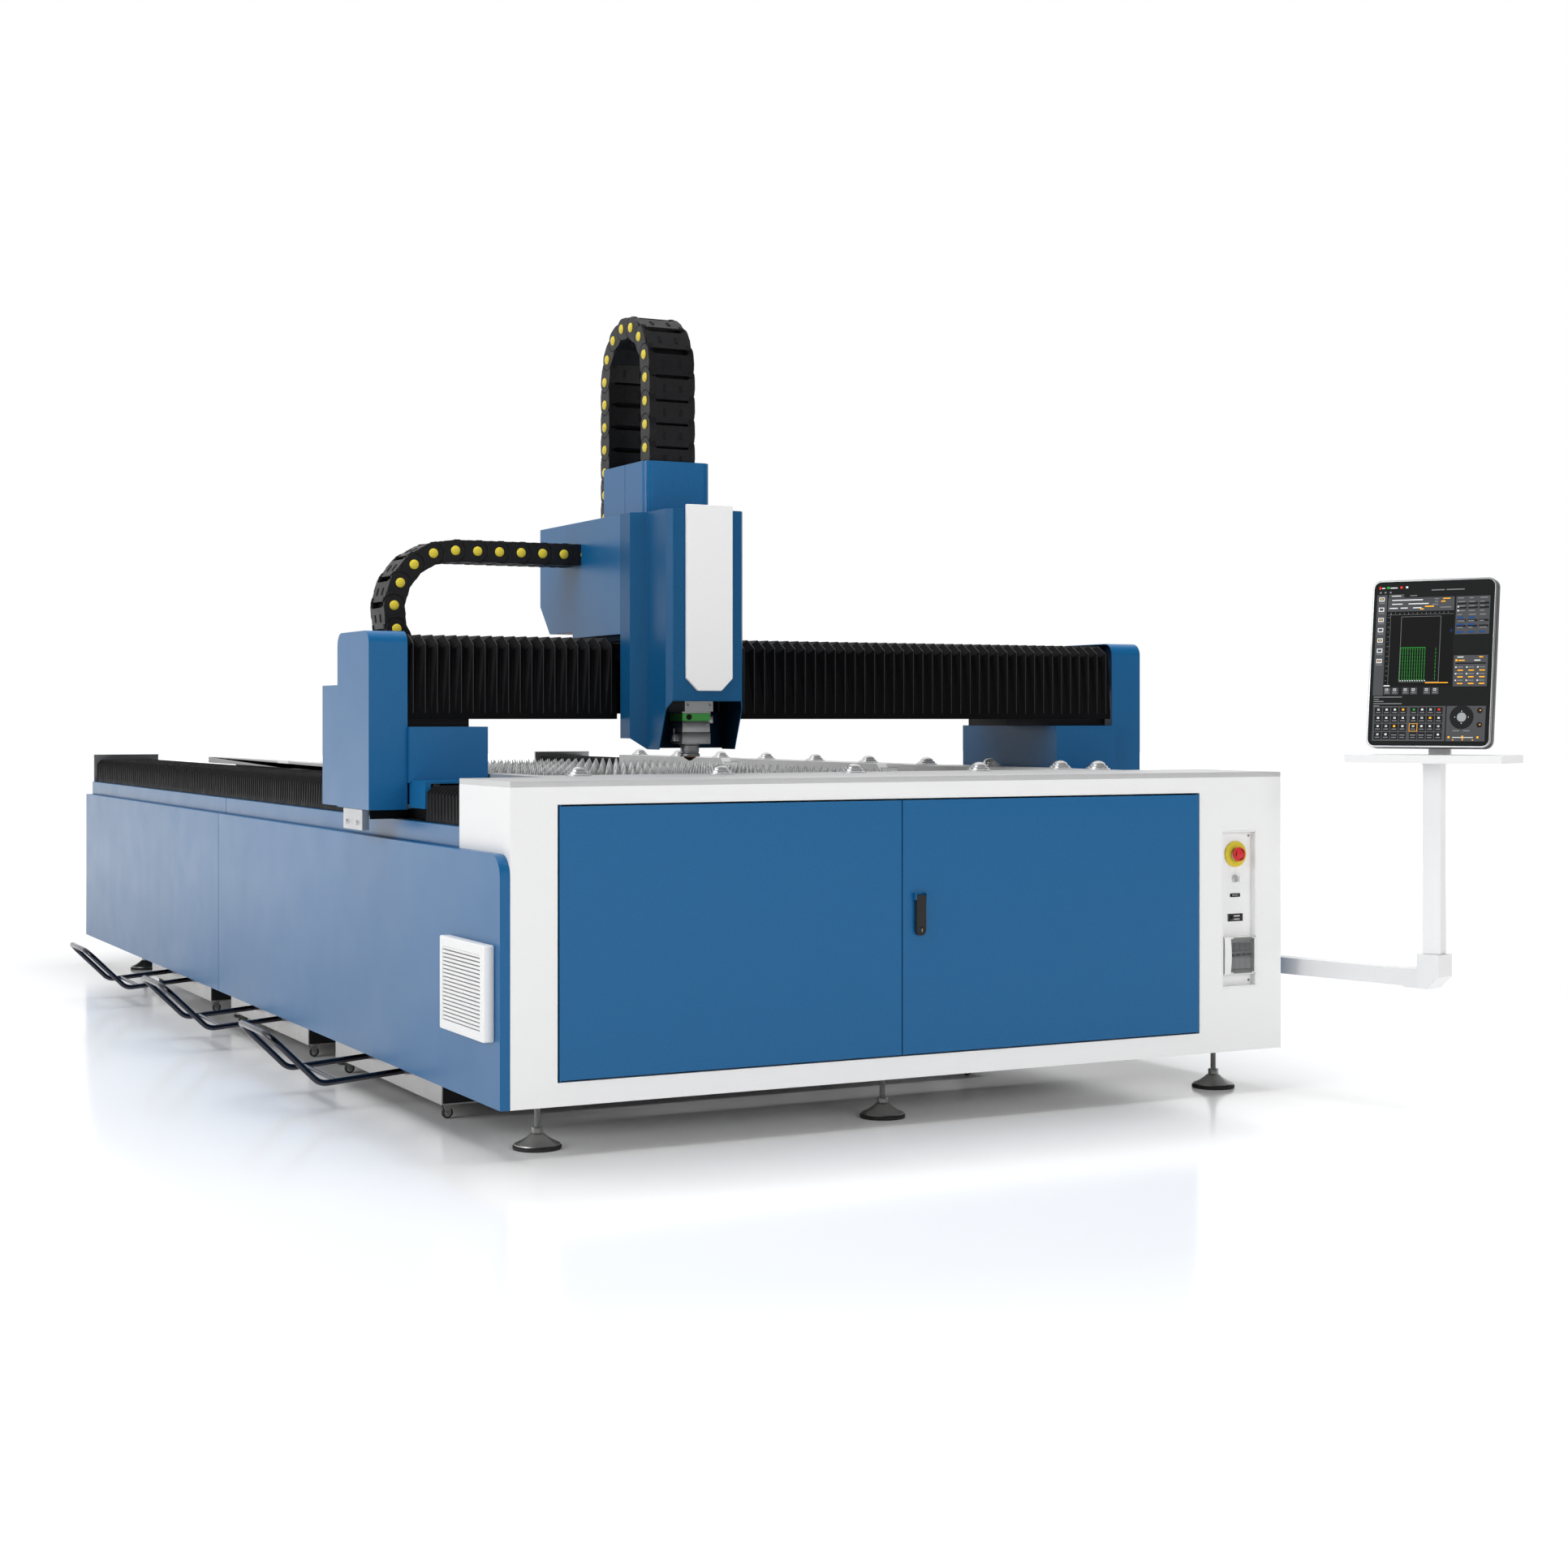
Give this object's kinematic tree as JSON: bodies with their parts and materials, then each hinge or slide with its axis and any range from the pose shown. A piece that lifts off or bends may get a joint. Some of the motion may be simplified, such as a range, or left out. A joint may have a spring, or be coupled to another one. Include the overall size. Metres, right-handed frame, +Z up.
{
  "type": "laser cutting machine",
  "caption": "Flat-bed sheet-metal laser cutter: slatted work bed, gantry with bellows, travelling cutting head with cable chains, front cabinet, scrap trays and swing-arm console.",
  "frame": {"origin": "on the floor, centre of the underside of the middle levelling foot under the front cabinet", "axes": "+X to the operator's right along the front, +Y back along the bed, +Z up"},
  "size_m": [3.024, 5.6932, 2.1914],
  "materials": {
    "blue_paint": "satin",
    "white_paint": "satin",
    "black_paint": "satin",
    "table_steel": "brushed",
    "rail_steel": "ground",
    "bright_steel": "polished",
    "end_plate_metal": "matt",
    "head_metal": "satin",
    "bellows_cloth": "matt",
    "chain_plastic": "matt",
    "white_plastic": "gloss",
    "black_plastic": "satin",
    "grey_plastic": "satin",
    "yellow_plastic": "satin",
    "red_plastic": "gloss",
    "copper": "polished",
    "wheel_rubber": "matt",
    "source_paint": "matt"
  },
  "bodies": {
    "machine_bed": {"bed_frame": "black_paint", "front_cabinet": "white_paint", "laser_source": "source_paint", "table_plate": "table_steel", "slat_rack": "table_steel", "support_slats": "rail_steel", "ball_units": "bright_steel", "levelling_feet": "rail_steel", "body_panels": "blue_paint", "rail_covers": "blue_paint", "linear_rails": "rail_steel", "rail_end_plates": "end_plate_metal", "vent_grille": "white_paint", "y_bellows_left": "bellows_cloth", "y_bellows_right": "bellows_cloth", "control_panel": "white_paint", "estop_base": "yellow_plastic", "breaker_box": "white_plastic", "console_bracket": "white_paint"},
    "gantry": {"gantry_beam": "black_paint", "end_cover_left": "blue_paint", "end_cover_right": "blue_paint", "saddle_left": "blue_paint", "saddle_right": "blue_paint", "rack_brackets": "white_paint", "x_bellows": "bellows_cloth"},
    "x_chain_loop": {"x_cable_chain": "chain_plastic"},
    "carriage": {"carriage_plate": "rail_steel", "head_cover": "blue_paint", "rear_cover": "blue_paint", "top_covers": "blue_paint", "front_plate": "white_paint", "z_cable_chain": "chain_plastic"},
    "z_axis": {"z_slide": "rail_steel", "cutting_head": "head_metal", "nozzle": "copper"},
    "door_left": {"door_left": "blue_paint"},
    "door_right": {"door_right": "blue_paint"},
    "door_handle": {"door_handle": "black_plastic"},
    "estop_button": {"estop_button": "red_plastic"},
    "power_key": {"power_key": "bright_steel"},
    "lamp_rocker": {"lamp_rocker": "white_plastic"},
    "breaker_cover": {"breaker_cover": "grey_plastic"},
    "breaker_toggles": {"breaker_toggles": "black_plastic"},
    "tray_1": {"scrap_tray_1": "white_paint", "tray_handle_1": "rail_steel"},
    "wheels_left_1": {"wheels_left_1": "wheel_rubber"},
    "wheels_right_1": {"wheels_right_1": "wheel_rubber"},
    "tray_2": {"scrap_tray_2": "white_paint", "tray_handle_2": "rail_steel"},
    "wheels_left_2": {"wheels_left_2": "wheel_rubber"},
    "wheels_right_2": {"wheels_right_2": "wheel_rubber"},
    "tray_3": {"scrap_tray_3": "white_paint", "tray_handle_3": "rail_steel"},
    "wheels_left_3": {"wheels_left_3": "wheel_rubber"},
    "wheels_right_3": {"wheels_right_3": "wheel_rubber"},
    "console_arm": {"console_arm": "white_paint"},
    "console_head": {"console_post": "white_paint", "keyboard_shelf": "white_paint"},
    "monitor": {"monitor": "black_plastic"}
  },
  "joints": [
    {"name": "gantry_travel", "type": "slide", "parent": "machine_bed", "child": "gantry", "axis": [0, 1, 0], "range_m": [-0.22, 3], "deforming": ["y_bellows_left", "y_bellows_right"]},
    {"name": "carriage_travel", "type": "slide", "parent": "gantry", "child": "carriage", "axis": [1, 0, 0], "range_m": [-0.38, 1.12], "deforming": ["x_bellows", "x_cable_chain"]},
    {"name": "x_chain_roll", "type": "slide", "parent": "carriage", "child": "x_chain_loop", "axis": [1, 0, 0], "range_m": [-0.562, 0.192], "deforming": ["x_cable_chain"]},
    {"name": "head_lift", "type": "slide", "parent": "carriage", "child": "z_axis", "axis": [0, 0, 1], "range_m": [0, 0.12], "deforming": ["z_cable_chain"]},
    {"name": "door_left_swing", "type": "hinge", "parent": "machine_bed", "child": "door_left", "pos_m": [-0.965, -0.1415, 0.511], "axis": [0, 0, 1], "range_deg": [-100, 0]},
    {"name": "door_right_swing", "type": "hinge", "parent": "machine_bed", "child": "door_right", "pos_m": [0.915, -0.1415, 0.511], "axis": [0, 0, 1], "range_deg": [0, 100]},
    {"name": "handle_lift", "type": "hinge", "parent": "door_right", "child": "door_handle", "pos_m": [0.024, -0.156, 0.59], "axis": [1, 0, 0], "range_deg": [-60, 0]},
    {"name": "estop_push", "type": "slide", "parent": "machine_bed", "child": "estop_button", "axis": [0, 1, 0], "range_m": [0, 0.006], "stiffness_N_per_m": 600, "springref_m": -0.001},
    {"name": "key_turn", "type": "hinge", "parent": "machine_bed", "child": "power_key", "pos_m": [1.061, -0.133, 0.601], "axis": [0, 1, 0], "range_deg": [0, 90]},
    {"name": "rocker_tilt", "type": "hinge", "parent": "machine_bed", "child": "lamp_rocker", "pos_m": [1.061, -0.125, 0.493], "axis": [1, 0, 0], "range_deg": [-20, 0]},
    {"name": "breaker_cover_lift", "type": "hinge", "parent": "machine_bed", "child": "breaker_cover", "pos_m": [1.061, -0.14625, 0.439], "axis": [1, 0, 0], "range_deg": [-95, 0]},
    {"name": "breaker_flip", "type": "hinge", "parent": "machine_bed", "child": "breaker_toggles", "pos_m": [1.061, -0.1355, 0.388], "axis": [1, 0, 0], "range_deg": [0, 45]},
    {"name": "tray_1_pull", "type": "slide", "parent": "machine_bed", "child": "tray_1", "axis": [-1, 0, 0], "range_m": [0, 1.2]},
    {"name": "wheels_left_1_roll", "type": "hinge", "parent": "tray_1", "child": "wheels_left_1", "pos_m": [-1.023, 0.9435, 0.0153], "axis": [0, 1, 0], "continuous": true},
    {"name": "wheels_right_1_roll", "type": "hinge", "parent": "tray_1", "child": "wheels_right_1", "pos_m": [0.577, 0.9435, 0.0153], "axis": [0, 1, 0], "continuous": true},
    {"name": "tray_2_pull", "type": "slide", "parent": "machine_bed", "child": "tray_2", "axis": [-1, 0, 0], "range_m": [0, 1.2]},
    {"name": "wheels_left_2_roll", "type": "hinge", "parent": "tray_2", "child": "wheels_left_2", "pos_m": [-1.023, 2.1915, 0.0153], "axis": [0, 1, 0], "continuous": true},
    {"name": "wheels_right_2_roll", "type": "hinge", "parent": "tray_2", "child": "wheels_right_2", "pos_m": [0.577, 2.1915, 0.0153], "axis": [0, 1, 0], "continuous": true},
    {"name": "tray_3_pull", "type": "slide", "parent": "machine_bed", "child": "tray_3", "axis": [-1, 0, 0], "range_m": [0, 1.2]},
    {"name": "wheels_left_3_roll", "type": "hinge", "parent": "tray_3", "child": "wheels_left_3", "pos_m": [-1.023, 3.4395, 0.0153], "axis": [0, 1, 0], "continuous": true},
    {"name": "wheels_right_3_roll", "type": "hinge", "parent": "tray_3", "child": "wheels_right_3", "pos_m": [0.577, 3.4395, 0.0153], "axis": [0, 1, 0], "continuous": true},
    {"name": "arm_swing", "type": "hinge", "parent": "machine_bed", "child": "console_arm", "pos_m": [1.265, 0.034, 0.344], "axis": [0, 0, 1], "range_deg": [-12, 80]},
    {"name": "console_swivel", "type": "hinge", "parent": "console_arm", "child": "console_head", "pos_m": [1.40973, -0.53797, 0.39], "axis": [0, 0, 1], "range_deg": [-60, 60]},
    {"name": "monitor_tilt", "type": "hinge", "parent": "console_head", "child": "monitor", "pos_m": [1.42722, -0.52828, 1.19], "axis": [0.4848, -0.8746, 0], "range_deg": [-10, 10]}
  ],
  "couplings": [
    {"joint": "x_chain_roll", "follows": "carriage_travel", "ratio": -0.5}
  ]
}
